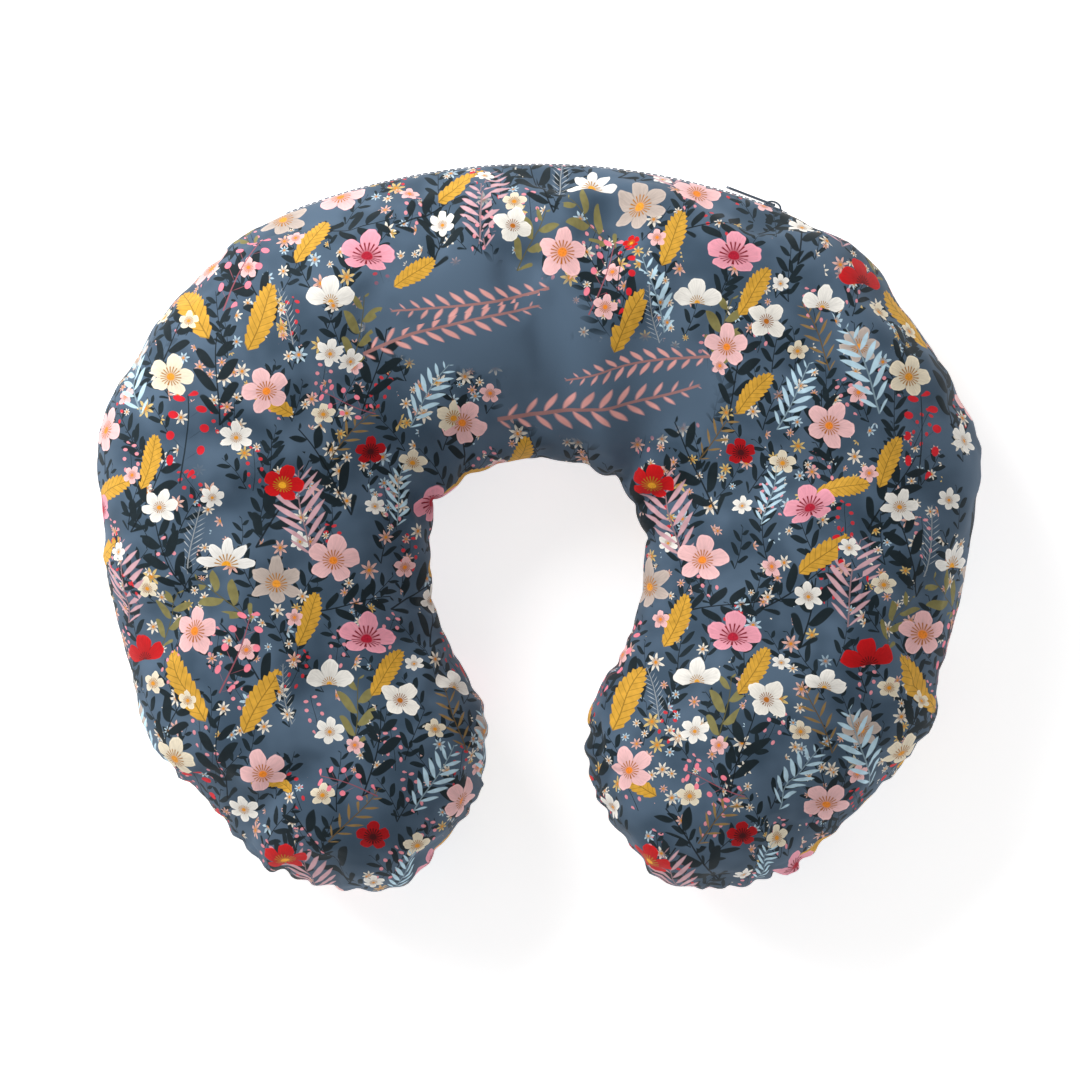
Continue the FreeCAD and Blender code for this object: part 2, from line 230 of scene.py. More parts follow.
# ---- one closed mesh of both panels and both halves ----
class Body:
    """The closed grid. Index arrays say which vertex each grid point of each quarter is; the quarters share
    the points on the seam and in the middle."""

    def __init__(self):
        fullness = crown()
        top_z = SEAM_Z + TOP_RISE * fullness
        bottom_z = SEAM_Z - BOTTOM_DROP * fullness
        bottom_z = (bottom_z + np.sqrt(bottom_z ** 2 + 4 * GROUND_EASE ** 2)) / 2 - GROUND_EASE / 2
        bottom_z = SEAM_Z - (SEAM_Z - bottom_z) * SEAM_Z / (SEAM_Z - bottom_z.min())
        blocks, self.index, count = [], {}, 0
        on_seam = DISTANCE == 0
        for panel, up, heights in (("top", 1, top_z), ("bottom", -1, bottom_z)):
            for side in (1, -1):
                grid = np.full(on_seam.shape, -1)
                if panel == "bottom":
                    grid[on_seam] = self.index["top", side][on_seam]
                if side < 0:
                    grid[0] = self.index[panel, 1][0]
                new = grid < 0
                grid[new] = count + np.arange(new.sum())
                count += new.sum()
                self.index[panel, side] = grid
                values = (PLAN[..., 0] * side, PLAN[..., 1], heights, DISTANCE, RUN, side, up)
                blocks.append([np.broadcast_to(value, new.shape)[new] for value in values])
        *place, self.distance, self.run, self.side, self.up = np.concatenate(blocks, 1)
        self.co = np.stack(place, 1)

    def quads(self, panel, side):
        """Faces of one quarter, outward."""
        grid = self.index[panel, side]
        faces = np.stack([grid[:-1, :-1], grid[1:, :-1], grid[1:, 1:], grid[:-1, 1:]], -1).reshape(-1, 4)
        return faces[:, ::-1] if (panel == "top") == (side > 0) else faces

    def all_quads(self):
        return np.concatenate([self.quads(panel, side) for panel, side in self.index])


def make_mesh(name, co, faces):
    mesh = bpy.data.meshes.new(name)
    mesh.from_pydata(co, [], faces, shade_flat=False)
    mesh.update()
    return mesh


def make_object(name, data):
    thing = bpy.data.objects.new(name, data)
    bpy.context.scene.collection.objects.link(thing)
    return thing


def coordinates(mesh):
    co = np.empty(len(mesh.vertices) * 3)
    mesh.vertices.foreach_get("co", co)
    return co.reshape(-1, 3)


def gather(faces, values, count):
    """For each of the points, the sum of the values of the faces round it."""
    total = np.zeros((count, values.shape[1]))
    for k in range(4):
        np.add.at(total, faces[:, k], values)
    return total


def vertex_normals(co, faces, smoothing=0):
    """Area-weighted normals of the closed grid, each then averaged with its neighbours' a few times."""
    corners = co[faces]
    across = np.cross(corners[:, 2] - corners[:, 0], corners[:, 3] - corners[:, 1])
    for _ in range(smoothing + 1):
        normals = gather(faces, across, len(co))
        normals /= np.maximum(norm(normals, axis=1, keepdims=True), 1e-12)
        across = normals[faces].sum(1)
    return normals


# ---- puckers and folds ----
TIP_RUN = SEAM_RUN[tip_index(200)]
ZIP_CALM = (6 * MM, 3 * MM, 18 * MM)    # how far the cloth lies smooth past the zip: sideways, inwards, up
ZIP_FADE = 26 * MM
SWELL_WAVES = 26
SWELL_SHARE = 0.0034          # of a wave's length, how far it moves the cloth


def crease_list(side):
    """Puckers along half the seam, crowded at the arm's end: place, depth, width, length and slant."""
    rng = random.Random(29 if side > 0 else 7)
    creases, place = [], 6 * MM
    while place < SEAM_RUN[-1]:
        near_tip = math.exp(-((place - TIP_RUN + 60 * MM) / (170 * MM)) ** 2)
        depth = (1.1 + 2.9 * near_tip) * rng.uniform(0.35, 1.3) * MM
        width = rng.uniform(3.0, 5.6) * MM
        reach = rng.uniform(14, 26 + 26 * near_tip) * MM
        creases.append((place, depth, width, reach, rng.uniform(-0.6, 0.6)))
        place += rng.uniform(11, 27 - 8 * near_tip) * MM
    return creases


# place beyond the hole's upper corner, depth, width and length in mm, and slant, for each half
FOLDS = {
    1: [(-30, 4.2, 7, 75, -0.35), (-8, 3.4, 6, 95, -0.10), (10, 6.0, 8, 85, 0.15), (34, 3.6, 7, 60, 0.40)],
    -1: [(-10, 3.4, 8, 65, 0.0), (20, 3.0, 7, 50, 0.3)],
}


def long_folds(side):
    """Broad soft folds that run out from the upper corners of the hole, given as the puckers are."""
    corner = SEAM_RUN[-1] - 62 * MM
    return [(corner + place * MM, depth * MM, width * MM, length * MM, slant)
            for place, depth, width, length, slant in FOLDS[side]]


def swell(body):
    """Slow unevenness of the stuffing, from a few waves in random directions."""
    rng = random.Random(17)
    total = np.zeros(len(body.co))
    for _ in range(SWELL_WAVES):
        direction = np.array([rng.gauss(0, 1) for _ in range(3)])
        direction /= norm(direction)
        length = rng.uniform(34, 110) * MM
        total += np.sin(body.co @ direction * 2 * math.pi / length + rng.uniform(0, 2 * math.pi)) * length
    return total * SWELL_SHARE


def pucker(body, normals):
    """Moves the grid's points in and out for every crease."""
    shift = np.zeros(len(body.co))
    distance, run = body.distance, body.run
    for side in (1, -1):
        own = body.side == side
        for place, depth, width, reach, slant in crease_list(side) + long_folds(side):
            lean = np.where(body.up > 0, slant, -slant)
            spread = width * (1 + distance / reach)
            offset = (run - place - lean * distance) / spread
            profile = 0.45 * np.exp(-((offset / 2.1) ** 2)) - np.exp(-(offset ** 2))
            shift += own * depth * profile * np.exp(-distance / reach)
    shift += swell(body)
    return body.co + normals * (shift * (1 - zip_nearness(body.co)))[:, None]


def zip_nearness(co):
    """1 over the zip and its topstitching, falling to 0 a few centimetres away from them."""
    half = math.sin(math.radians(BACK_HALF_ANGLE)) * BACK_RADIUS
    beyond = (np.abs(co[:, 0]) - half - ZIP_CALM[0]).clip(0)
    inside = (BACK_RADIUS - np.hypot(co[:, 0] - ARC_CENTRE.x, co[:, 1] - ARC_CENTRE.y) - ZIP_CALM[1]).clip(0)
    above = (np.abs(co[:, 2] - SEAM_Z) - ZIP_CALM[2]).clip(0)
    away = np.sqrt(beyond ** 2 + above ** 2 + inside ** 2)
    return np.clip(1 - away / ZIP_FADE, 0, 1) ** 2 * (co[:, 1] > 0)


# ---- settling in a short cloth simulation ----
def spread_out(values, faces, passes):
    """Values at the grid's points, averaged with their neighbours' many times."""
    valence = gather(faces, np.ones((len(faces), 1)), len(values))
    for _ in range(passes):
        values = gather(faces, values[faces].mean(1), len(values)) / valence
    return values


def ease_corners(body, co):
    """Puts the grid's corners at the arms' ends between their neighbours on the seam."""
    for side in (1, -1):
        grid = body.index["top", side]
        for column, beside in ((0, 1), (-1, -2)):
            co[grid[-1, column]] = (co[grid[-2, column]] + co[grid[-1, beside]]) / 2
    return co


CLOTH_SETTINGS = {
    "quality": 6, "mass": 0.25, "tension_stiffness": 18, "compression_stiffness": 18, "shear_stiffness": 6,
    "bending_stiffness": 0.6, "use_pressure": True, "uniform_pressure_force": 2.0,
    "vertex_group_shrink": "seam", "shrink_min": 0.0, "shrink_max": 0.05,
}


def settle(body, start, frames=14, cap=3.6 * MM):
    """Inflates the sewn cover a little with its seam drawn tight, and keeps every point near its start."""
    soft = make_object("settling_cover", make_mesh("settling_cover", start, body.all_quads()))
    seam = soft.vertex_groups.new(name="seam")
    for weight, low, high in ((1.0, -1, 1 * MM), (0.5, 1 * MM, 7 * MM)):
        chosen = np.flatnonzero((body.distance > low) & (body.distance <= high))
        seam.add(chosen.tolist(), weight, "REPLACE")
    cloth = soft.modifiers.new("Cloth", "CLOTH")
    for name, value in CLOTH_SETTINGS.items():
        setattr(cloth.settings, name, value)
    cloth.settings.effector_weights.gravity = 0
    cloth.collision_settings.use_collision = False
    scene = bpy.context.scene
    for number in range(1, frames + 1):
        scene.frame_set(number)
    view = soft.evaluated_get(bpy.context.evaluated_depsgraph_get())
    moved = coordinates(view.data) - start
    moved -= spread_out(moved, body.all_quads(), 40)    # only the local ripples are kept
    scene.frame_set(1)
    bpy.data.objects.remove(soft)
    far = norm(moved, axis=1, keepdims=True)
    moved *= cap * np.tanh(far / cap) / np.maximum(far, 1e-9)
    moved *= (1 - zip_nearness(start))[:, None]
    settled = start + moved
    settled[:, 2] = np.maximum(settled[:, 2], 0)
    return settled


# ---- the print: what lies where ----
def ink(code):
    """A linear colour from its web code."""
    values = [int(code[k:k + 2], 16) / 255 for k in (0, 2, 4)]
    return tuple(v / 12.92 if v <= 0.04045 else ((v + 0.055) / 1.055) ** 2.4 for v in values)


FULL = 4.0                    # a fan this wide is a whole ring of petals

# petal colour, heart colour, petals in a full ring, how blunt they are, half the fan, heart's radius, and how
# much shorter the lower petals are
BLOSSOMS = {
    "pink": ("fbc8c8", "f08a2c", 5, 2.2, FULL, 0.20, 1.2),
    "rose": ("fbc6c6", "f08a2c", 5, 2.0, FULL, 0.22, 1.0),
    "beige": ("cabab0", "ee9c34", 6, 1.8, FULL, 0.20, 1.4),
    "poppy": ("d8141a", "f6b02c", 5, 3.0, FULL, 0.22, 1.6),
    "dark_poppy": ("b40f18", "4a0c12", 5, 3.0, FULL, 0.26, 1.3),
    "cream": ("f3e6cc", "e0942c", 5, 2.2, FULL, 0.22, 1.3),
    "white": ("fbf7ef", "e0942c", 6, 2.2, FULL, 0.17, 1.3),
    "star": ("fbf6ec", "b86a1c", 4, 1.5, FULL, 0.17, 1.3),
    "anemone": ("f6a5b6", "b01c34", 5, 2.6, FULL, 0.25, 2.1),
    "red_cup": ("cc1219", "7c0a12", 5.4, 3.4, 1.745, 0.16, 1.0),
    "lotus": ("fcf9f3", "f0a428", 9, 1.5, 1.745, 0.20, 1.0),
    "crocus": ("fbf7ef", "e0a03c", 5.2, 2.2, 1.81, 0.15, 1.0),
}

# colour, pairs of leaves, leaf length, leaf width, berry radius; lengths as shares of the sprig's
SPRIGS = {
    "gold_leaf": ("e0aa3e", 9, 0.28, 0.44, 0.0),
    "olive_leaf": ("8a8352", 3, 0.42, 0.34, 0.0),
    "blue_fern": ("c6e6f6", 7, 0.31, 0.21, 0.0),
    "white_fern": ("dfe6ea", 12, 0.20, 0.07, 0.0),
    "coral": ("dcaeb6", 8, 0.40, 0.15, 0.0),
    "red_berries": ("cc1f2c", 4, 0.26, 0.035, 0.052),
    "pink_berries": ("ea7f90", 4, 0.26, 0.035, 0.048),
    "brown_twig": ("9a7c4c", 6, 0.26, 0.16, 0.0),
    "flourish": ("f6b0aa", 11, 0.13, 0.27, 0.0),
    "dark_sprig": ("1a272d", 4, 0.34, 0.36, 0.0),
}

TILE = np.array([212, 219])   # the repeat, and where one repeat starts, in millimetres
TILE_START = np.array([-211, -131])

# one repeat's motifs: name, place in the repeat and radius in mm, turn in degrees
FRONT_BLOSSOMS = [
    ("pink", 94, 112, 17, 10), ("pink", 54, 210, 16, -20), ("pink", 168, 190, 16, 30),
    ("rose", 14, 70, 16, 0), ("anemone", 113, 68, 18, 8), ("anemone", 157, 143, 17, -18),
    ("poppy", 65, 156, 14, 15), ("red_cup", 188, 60, 17, -6), ("dark_poppy", 116, 174, 10, 0),
    ("lotus", 32, 116, 18, 5), ("crocus", 92, 48, 16, 0), ("crocus", 165, 44, 14, 12),
    ("star", 132, 31, 14, 40), ("white", 37, 183, 11, 0), ("white", 207, 143, 12, 20),
    ("white", 91, 13, 10, 10), ("white", 156, 91, 10, 0), ("cream", 1, 217, 15, 15),
    ("rose", 135, 108, 7, 0), ("rose", 190, 162, 6, 30), ("white", 118, 143, 7, 0), ("cream", 10, 30, 7, 0),
    ("rose", 70, 78, 6, 0), ("rose", 105, 5, 6, 15), ("cream", 150, 14, 7, 0), ("white", 180, 119, 7, 25),
]
BACK_BLOSSOMS = [
    ("beige", 60, 98, 18, 0), ("beige", 184, 15, 13, 20), ("cream", 140, 168, 9, 0),
    ("white", 24, 148, 8, 10), ("cream", 88, 196, 8, 0), ("rose", 44, 60, 7, 0), ("cream", 198, 98, 8, 0),
    ("white", 74, 122, 7, 0), ("cream", 200, 38, 8, 10), ("white", 140, 52, 6, 0), ("rose", 184, 208, 7, 0),
]
FRONT_SPRIGS = [
    ("gold_leaf", 72, 62, 32, 25), ("gold_leaf", 116, 34, 30, 35), ("gold_leaf", 22, 20, 42, -35),
    ("gold_leaf", 44, 14, 38, 25), ("gold_leaf", 70, 196, 28, -60), ("gold_leaf", 196, 154, 30, 20),
    ("gold_leaf", 160, 150, 30, 75), ("gold_leaf", 152, 104, 34, 50), ("blue_fern", 196, 196, 52, -20),
    ("blue_fern", 138, 188, 42, 30), ("coral", 82, 112, 52, -12), ("coral", 178, 74, 50, 8),
    ("red_berries", 6, 156, 50, 5), ("pink_berries", 30, 36, 46, 22), ("red_berries", 188, 96, 34, -25),
    ("blue_fern", 130, 132, 34, 10), ("white_fern", 70, 18, 34, -12), ("pink_berries", 118, 196, 34, -70),
]
BACK_SPRIGS = [
    ("dark_sprig", 48, 118, 60, 30), ("dark_sprig", 104, 138, 58, -30), ("olive_leaf", 104, 4, 40, 10),
    ("dark_sprig", 150, 62, 56, 15), ("dark_sprig", 8, 92, 50, -20), ("brown_twig", 92, 170, 40, 40),
    ("white_fern", 10, 104, 40, 8), ("dark_sprig", 60, 30, 54, -35), ("dark_sprig", 190, 130, 50, 30),
    ("olive_leaf", 46, 76, 40, -50), ("dark_sprig", 28, 190, 52, 0), ("dark_sprig", 128, 84, 52, 60),
    ("brown_twig", 168, 2, 42, -20), ("dark_sprig", 110, 196, 50, 15), ("dark_sprig", 170, 164, 46, -10),
    ("olive_leaf", 200, 60, 36, 25), ("dark_sprig", 84, 82, 44, 80), ("dark_sprig", 206, 2, 46, 25),
]

MARGIN = 3.2 * MM             # faces whose middles are this far outside a motif may still show its edge

# the plain ground on the top of the back: centres and half sizes of two ovals, in millimetres
PLAIN_OVALS = [((-38, 122), (66, 33)), ((42, 80), (66, 33))]

# single motifs round the plain ground, placed from the pillow's origin
EXTRA_BLOSSOMS = [
    ("cream", -48, 62, 12, 10), ("star", -14, 172, 13, 20), ("pink", 110, 104, 15, 0),
    ("rose", 40, 128, 8, 15), ("white", -108, 96, 9, 0), ("poppy", 56, 166, 6, 0),
]
EXTRA_SPRIGS = [
    ("flourish", -100, 100, 104, 72), ("flourish", 8, 138, 92, -102), ("flourish", -22, 62, 116, 80),
    ("flourish", 100, 98, 84, -97), ("blue_fern", 74, 112, 44, -12), ("red_berries", 44, 122, 40, 14),
    ("gold_leaf", 116, 66, 30, 40), ("coral", -30, 160, 40, -6), ("gold_leaf", -82, 138, 28, 50),
]


def plainness(flat):
    """1 on the plain ground of the back, 0 elsewhere; flat is in metres."""
    best = np.zeros(len(flat))
    for centre, half in PLAIN_OVALS:
        reach = norm((flat / MM - np.array(centre)) / np.array(half), axis=1)
        best = np.maximum(best, np.clip((1.12 - reach) / 0.2, 0, 1))
    return best


def placed(motifs, extras, panel, low, high):
    """Every motif of one layer over one panel: name, place and size in metres, turn in radians."""
    def scaled(motif, corner=np.zeros(2)):
        name, x, y, size, turn = motif
        return name, (corner + (x, y)) * MM, size * MM, math.radians(turn)

    def off_the_ground(motif):
        name, place, size, turn = motif
        middle = place + (axes(turn)[0] * size / 2 if name in SPRIGS else 0)
        return plainness(middle[None])[0] < 0.4

    first = np.floor((low / MM - TILE_START) / TILE).astype(int) - 1
    last = np.ceil((high / MM - TILE_START) / TILE).astype(int)
    corners = [TILE_START + TILE * (i, j) for i in range(first[0], last[0] + 1)
               for j in range(first[1], last[1] + 1)]
    found = [scaled(motif, corner) for corner in corners for motif in motifs]
    if panel == "top":
        found = [scaled(motif) for motif in extras] + [motif for motif in found if off_the_ground(motif)]
    return found


def axes(turn):
    """Unit vectors up a motif and to its right, by its turn clockwise."""
    up = np.array([math.sin(turn), math.cos(turn)])
    return up, np.array([up[1], -up[0]])


def blank_layer(flat, centres, widths):
    """The best score so far of each face, and what each corner stores: a place off every motif, and ones."""
    rest = [np.ones((len(flat), k), np.float32) for k in widths]
    return [np.full(len(centres), 9.0), np.full((len(flat), 3), 9, np.float32)] + rest


def lay_blossoms(flat, centres, motifs):
    """For each face, the blossom it shows: local places at its corners, and what kind it is."""
    best, local, first, second, third = blank_layer(flat, centres, (4, 4, 3))
    for seed, (name, place, size, turn) in enumerate(motifs):
        petal, heart, petals, blunt, fan, core, squat = BLOSSOMS[name]
        up, right = axes(turn)
        anchor = place - up * size * (0.45 if fan < FULL else 0.12 * (squat - 1))
        reach = norm(centres - anchor, axis=1)
        score = reach / size
        mine = (reach < size + MARGIN) & (score < best)
        best[mine] = score[mine]
        corners = np.repeat(mine, 4)
        offset = (flat[corners] - anchor) / size
        local[corners] = np.stack([offset @ right, offset @ up, np.full(len(offset), squat)], 1)
        first[corners] = (*ink(petal), petals)
        second[corners] = (*ink(heart), core)
        third[corners] = (blunt, fan, seed % 97)
    return {"place": local, "petal": first, "heart": second, "kind": third}


def lay_sprigs(flat, centres, motifs):
    """For each face, the sprig it shows: x along the stem from 0 to 1 and y across it."""
    best, local, first, second = blank_layer(flat, centres, (4, 3))
    for seed, (name, place, size, turn) in enumerate(motifs):
        colour, pairs, leaf, width, berry = SPRIGS[name]
        along_stem, across = axes(turn)
        offset = (centres - place) / size
        x, y = offset @ along_stem, offset @ across
        lateral = leaf * 0.75 + berry + 0.05
        edge = MARGIN / size
        inside = (x > -edge) & (x < 1.12 + edge) & (np.abs(y) < lateral + edge)
        score = np.abs(y) / lateral + 0.3 * np.abs(x - 0.5)
        mine = inside & (score < best)
        best[mine] = score[mine]
        corners = np.repeat(mine, 4)
        spot = (flat[corners] - place) / size
        local[corners] = np.stack([spot @ along_stem, spot @ across, np.full(len(spot), 1 + seed % 13)], 1)
        first[corners] = (*ink(colour), pairs)
        second[corners] = (leaf, width, berry)
    return {"place": local, "leaf": first, "kind": second}


# ---- the print: how it is drawn ----
def fill_in(node, inputs):
    """Sets or links a node's sockets; inputs are pairs of a socket and what goes into it."""
    for slot, value in inputs:
        if isinstance(value, Term):
            value.tree.links.new(value.socket, node.inputs[slot])
        else:
            node.inputs[slot].default_value = value


def new_node(tree, kind, inputs=(), output=0, **settings):
    node = tree.nodes.new("ShaderNode" + kind)
    for name, value in settings.items():
        setattr(node, name, value)
    fill_in(node, inputs)
    return Term(tree, node.outputs[output])


class Term:
    """A number or colour inside a material, so that the drawing rules read as formulas."""

    def __init__(self, tree, socket):
        self.tree, self.socket = tree, socket

    def math(self, operation, *others):
        return new_node(self.tree, "Math", enumerate((self, *others)), operation=operation)

    def __rsub__(self, other):
        return self * -1 + other

    __add__ = __radd__ = partialmethod(math, "ADD")
    __sub__ = partialmethod(math, "SUBTRACT")
    __mul__ = __rmul__ = partialmethod(math, "MULTIPLY")
    __truediv__ = partialmethod(math, "DIVIDE")
    __abs__ = partialmethod(math, "ABSOLUTE")
    fract = partialmethod(math, "FRACT")
    floor = partialmethod(math, "FLOOR")
    sine = partialmethod(math, "SINE")
    cosine = partialmethod(math, "COSINE")
    power = partialmethod(math, "POWER")
    least = partialmethod(math, "MINIMUM")
    most = partialmethod(math, "MAXIMUM")

    def ramp(self, low, high):
        """A smooth step from 0 at low to 1 at high."""
        inputs = (("Value", self), ("From Min", low), ("From Max", high))
        return new_node(self.tree, "MapRange", inputs, interpolation_type="SMOOTHSTEP")


def hypotenuse(x, y):
    return (x * x + y * y).math("SQRT")


def is_broad(width):
    """1 for a width above about 0.4 and 0 below it."""
    return width.ramp(0.38, 0.40) if isinstance(width, Term) else float(width > 0.39)


STEM_INK = ink("1c282f")
LOOSENESS = 0.3               # how far scattered motifs stray from their cells' middles, in cells


class Art:
    """What a drawing needs besides arithmetic."""

    def __init__(self, tree):
        self.tree = tree

    def colour(self, name):
        """A stored colour and the number kept with it."""
        colour = new_node(self.tree, "Attribute", output="Color", attribute_name=name)
        return colour, Term(self.tree, colour.socket.node.outputs["Alpha"])

    def numbers(self, name):
        return self.split(new_node(self.tree, "Attribute", output="Vector", attribute_name=name))

    def split(self, vector):
        node = new_node(self.tree, "SeparateXYZ", [(0, vector)]).socket.node
        return [Term(self.tree, output) for output in node.outputs]

    def vector(self, *values):
        return new_node(self.tree, "CombineXYZ", enumerate(values))

    def noise(self, vector, scale, detail=1.0):
        return new_node(self.tree, "TexNoise", (("Scale", scale), ("Detail", detail), ("Vector", vector)))

    def chance(self, vector):
        """Three random numbers for a cell."""
        return self.split(new_node(self.tree, "TexWhiteNoise", [("Vector", vector)], "Color"))

    def mix(self, share, under, over):
        inputs = ((0, share), (6, opaque(under)), (7, opaque(over)))
        return new_node(self.tree, "Mix", inputs, 2, data_type="RGBA")

    def scaled(self, colour, factor):
        """A colour made lighter or darker."""
        return new_node(self.tree, "VectorMath", ((0, colour), ("Scale", factor)), operation="SCALE")

    def blossom(self, x, y, petals, blunt, fan, core, seed, under, petal_ink, heart_ink, notch=0.40):
        """Paints a blossom of radius 1 over a colour."""
        radius = hypotenuse(x, y)
        turn = x.math("ARCTAN2", y)
        share = turn * petals / (2 * math.pi)
        gap = abs((share + 0.5).fract() - 0.5) * 2
        wobble = self.noise(self.vector(x, y, seed), 2.6)
        edge = 1.05 - notch * gap.power(blunt) - 0.30 * wobble
        petal = (edge - radius).ramp(0.0, 0.035) * (fan - abs(turn)).ramp(0.0, 0.07)
        streak = self.noise(self.vector(turn * 5, radius, seed), 3.2, 2.0)
        shade = 0.76 + 0.24 * (radius / edge).ramp(0.05, 0.85) + 0.4 * (streak - 0.5)
        shade = shade + 0.16 * (radius / edge).ramp(0.86, 0.97)
        shade = shade - 0.34 * gap.ramp(0.84, 1.0) * radius.ramp(0.2, 0.5)
        colour = self.mix(petal, under, self.scaled(petal_ink, shade.most(0.1)))
        glow = (core * 1.5 - radius).ramp(0.0, 0.25) * petal
        colour = self.mix(glow * 0.65, colour, self.scaled(heart_ink, 0.8))
        ray = abs((turn * 2.9 + seed).fract() - 0.5) * 2
        ring = (core * 2.0 - radius).ramp(0.0, 0.06) * radius.ramp(core * 0.7, core)
        stamens = (ray - 0.55).ramp(0.0, 0.2) * ring
        colour = self.mix(stamens * petal, colour, self.scaled(heart_ink, 0.55))
        disc = (core * 0.8 - radius).ramp(0.0, 0.04) * petal
        freckle = self.noise(self.vector(x, y, seed), 16.0)
        return self.mix(disc, colour, self.scaled(heart_ink, 0.55 + 1.1 * freckle))

    def sprig(self, x, y, pairs, leaf, width, berry, seed, under, leaf_ink):
        """Paints a sprig over a colour: x runs along its stem, and its leaves alternate."""
        bent = y + x * 0.06 * (x * 3.1 + seed).sine()
        away = abs(bent)
        start = x - away * 0.9
        order = start * pairs + 0.5 * (bent.math("SIGN") * 0.5 + 0.5)
        across = ((order.fract() - 0.5) / pairs) * 0.72
        fullness = (start.most(0.0) * 0.8 + 0.16).least(1.0)
        length = leaf * (fullness * math.pi).sine().most(0.05).power(0.7)
        share = away * 1.36 / length
        breadth = width * length * (share.least(1.0).most(0.0) * math.pi).sine().most(0.0).power(0.8) * 0.55
        inside = (start.ramp(-0.02, 0.0)) * (1 - start.ramp(1.0, 1.02))
        blade = (breadth - abs(across)).ramp(-0.002, 0.010) * (1 - share.ramp(0.97, 1.0)) * inside
        web = is_broad(width) * (1 - share.ramp(0.74, 0.80)) * inside
        blade = blade.most(web)
        stem = (0.013 - away * (1.0 + 0.6 * x)).ramp(0.0, 0.006)
        stem = stem * x.ramp(-0.01, 0.0) * (1 - x.ramp(1.0, 1.02))
        tip = hypotenuse(across, away * 1.36 + across * 0.9 - length * 0.95)
        dots = (berry - tip).ramp(0.0, 0.008) * inside
        vein = (abs(across) * pairs / 0.36).ramp(0.78, 1.0)
        tone = 0.70 + 0.6 * self.noise(self.vector(x, y, seed), 9.0) - 0.42 * vein
        tone = tone - 0.35 * away.ramp(0.012, 0.0)
        twig = is_broad(berry * 8)
        colour = self.mix(blade, under, self.mix(twig, self.scaled(leaf_ink, tone), STEM_INK))
        colour = self.mix(stem * 0.9, colour, self.mix(twig, self.scaled(leaf_ink, 0.5), STEM_INK))
        return self.mix(dots, colour, self.scaled(leaf_ink, tone + 0.25))

    def scattered(self, x, y, cell, seed, spread=2 * math.pi):
        """Local place in a cell of a loose square grid, with the cell's chances; its first axis points up the
        print, give or take half the spread."""
        lean = math.radians(17 + 31 * seed)
        across = (x * math.cos(lean) + y * math.sin(lean)) / cell
        up = (y * math.cos(lean) - x * math.sin(lean)) / cell
        first = self.chance(self.vector(across.floor(), up.floor(), seed))
        second = self.chance(self.vector(across.floor(), up.floor(), seed + 0.5))
        u = across.fract() - 0.5 - (first[0] - 0.5) * LOOSENESS
        v = up.fract() - 0.5 - (first[1] - 0.5) * LOOSENESS
        turn = (first[2] - 0.5) * spread + (lean - math.pi / 2)
        sine, cosine = turn.sine(), turn.cosine()
        return u * cosine - v * sine, u * sine + v * cosine, second


COVER_BASE = (ink("586d82"), ink("43576a"))     # the ground's lighter and darker blue
SMALL_INKS = [ink(code) for code in ("f1e9da", "e9b9ae", "e0c27c", "bcd6e4")]
SMALL_HEART = ink("d98a2c")
SMALL_LEAF = ink("1c2a31")
SMALL_BERRIES = (ink("d98a94"), ink("c4323c"))


def opaque(colour):
    return (*colour, 1) if isinstance(colour, tuple) else colour


def principled(tree, colour, roughness, bump=None, sheen=0.0, metallic=0.0, coat=0.0, gloss=0.35):
    """The material's surface; bump is a height, its strength and its depth."""
    surface = tree.nodes["Principled BSDF"]
    fill_in(surface, (
        ("Base Color", opaque(colour)), ("Roughness", roughness), ("Sheen Weight", sheen),
        ("Sheen Roughness", 0.4), ("Metallic", metallic), ("Coat Weight", coat), ("Specular IOR Level", gloss)
    ))
    if bump is not None:
        normal = new_node(tree, "Bump", zip(("Height", "Strength", "Distance"), bump))
        fill_in(surface, [("Normal", normal)])
    return surface


def new_material(name):
    """A material, its nodes, the means to draw with them, and the place on the object."""
    material = bpy.data.materials.new(name)
    material.use_nodes = True
    tree = material.node_tree
    return material, tree, Art(tree), new_node(tree, "TexCoord", output="Object")


def fillers(art, x, y, clear, colour):
    """Small dark sprigs, sprays and tiny flowers between the large motifs."""
    shown = 1 - clear
    for cell, seed, pairs, width in ((27.0, 1.0, 3.0, 0.36), (36.0, 5.0, 4.0, 0.30)):
        u, v, chances = art.scattered(x, y, cell, seed, spread=1.5)
        sprig = art.sprig(u * 1.1 + 0.5, v * 1.1, pairs, 0.36, width, 0.0, seed, colour, SMALL_LEAF)
        here = (0.80 - chances[0]).ramp(0, 0.01)
        colour = art.mix(shown * here, colour, sprig)
    u, v, chances = art.scattered(x, y, 30.0, 9.0, spread=1.2)
    warm = art.mix((chances[0] - 0.6).ramp(0, 0.01), *SMALL_BERRIES)
    spray = art.sprig(u * 1.25 + 0.5, v * 1.25, 4.0, 0.24, 0.04, 0.050, 2.0, colour, warm)
    colour = art.mix(shown * (0.45 - chances[1]).ramp(0, 0.01), colour, spray)
    crowd = art.noise(art.vector(x * 0.045, y * 0.018, 3.0), 1.0).ramp(0.48, 0.62)
    for cell, seed, size, share in ((15.0, 3.0, 0.33, 0.20), (9.0, 7.0, 0.36, 0.0)):
        u, v, chances = art.scattered(x, y, cell, seed)
        reach = size * (0.7 + 0.6 * chances[0])
        petal = SMALL_INKS[0]
        for limit, other in zip((0.45, 0.72, 0.86), SMALL_INKS[1:]):
            petal = art.mix((chances[1] - limit).ramp(0, 0.01), petal, other)
        flower = art.blossom(
            u / reach, v / reach, 7.0, 1.1, FULL, 0.22, seed, colour, petal, SMALL_HEART, notch=0.66
        )
        here = (share + crowd * 0.5 - chances[2]).ramp(0, 0.01)
        colour = art.mix(shown * here, colour, flower)
    return colour


